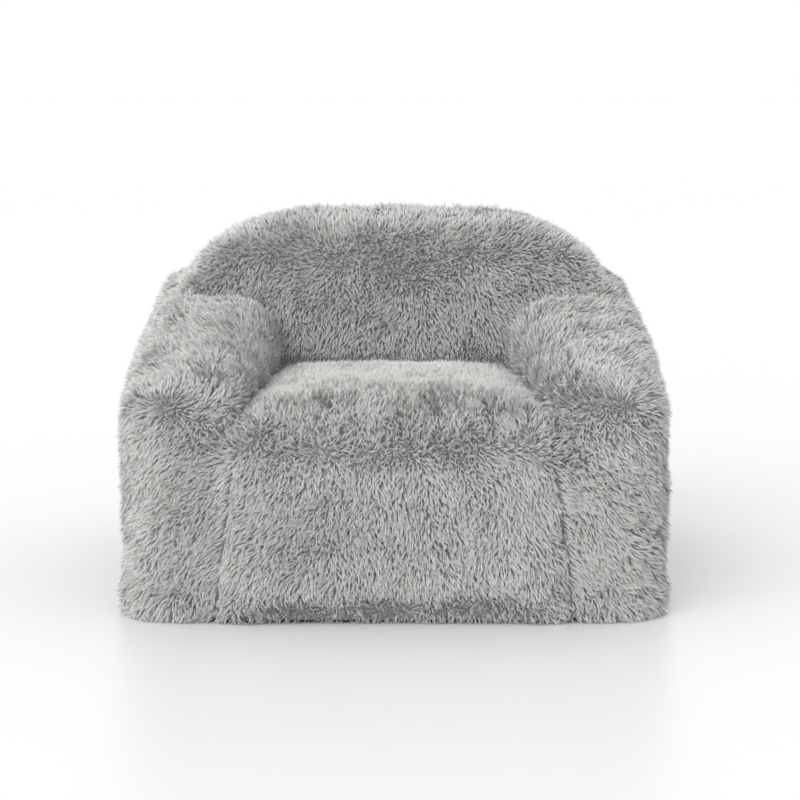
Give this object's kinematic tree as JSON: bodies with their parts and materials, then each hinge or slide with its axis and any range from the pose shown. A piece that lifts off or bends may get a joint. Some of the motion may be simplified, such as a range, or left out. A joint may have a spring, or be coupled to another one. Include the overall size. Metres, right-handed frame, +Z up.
{
  "type": "bean bag armchair",
  "caption": "Low stuffed armchair with padded arms and a rounded back, in a long shaggy fur cover over a zipped inner bag of loose beads.",
  "frame": {"origin": "on the floor, under the middle of the chair's outline", "axes": "+Z up, -Y out of the front of the seat, +X to the right as seen from the front"},
  "size_m": [0.9018, 0.8543, 0.628],
  "materials": {
    "fur": "long shaggy faux fur pile",
    "base_cloth": "plain woven bottom cloth",
    "liner_cloth": "plain woven inner bag cloth",
    "beads": "expanded polystyrene beads",
    "zip_tape": "woven zip tape",
    "zip_teeth": "moulded zip teeth",
    "zip_metal": "painted zip slider and stops"
  },
  "bodies": {
    "chair": {"seat_panel": "fur", "front_panel": "fur", "left_arm_front_panel": "fur", "right_arm_front_panel": "fur", "left_arm_panel": "fur", "right_arm_panel": "fur", "left_side_panel": "fur", "right_side_panel": "fur", "inner_back_panel": "fur", "back_top_band": "fur", "outer_back_upper_panel": "fur", "outer_back_lower_panel": "fur", "base_panel": "base_cloth", "liner_back_panel": "liner_cloth", "liner_centre_panel": "liner_cloth", "liner_left_panel": "liner_cloth", "liner_right_panel": "liner_cloth", "bead_filling": "beads", "cover_zip_upper_tape": "zip_tape", "cover_zip_lower_tape": "zip_tape", "cover_zip_upper_teeth": "zip_teeth", "cover_zip_lower_teeth": "zip_teeth", "cover_zip_upper_end_stop": "zip_metal", "cover_zip_lower_end_stop": "zip_metal", "cover_zip_open_end_stop": "zip_metal", "liner_zip_upper_tape": "zip_tape", "liner_zip_lower_tape": "zip_tape", "liner_zip_upper_teeth": "zip_teeth", "liner_zip_lower_teeth": "zip_teeth", "liner_zip_upper_end_stop": "zip_metal", "liner_zip_lower_end_stop": "zip_metal", "liner_zip_open_end_stop": "zip_metal"},
    "cover_zip_slider": {"cover_zip_slider": "zip_metal"},
    "liner_zip_slider": {"liner_zip_slider": "zip_metal"}
  },
  "joints": [
    {"name": "cover_zip_slide", "type": "slide", "parent": "chair", "child": "cover_zip_slider", "axis": [-1, 0, 0], "range_m": [0, 0.5845]},
    {"name": "liner_zip_slide", "type": "slide", "parent": "chair", "child": "liner_zip_slider", "axis": [-1, 0, 0], "range_m": [0, 0.4845]}
  ]
}
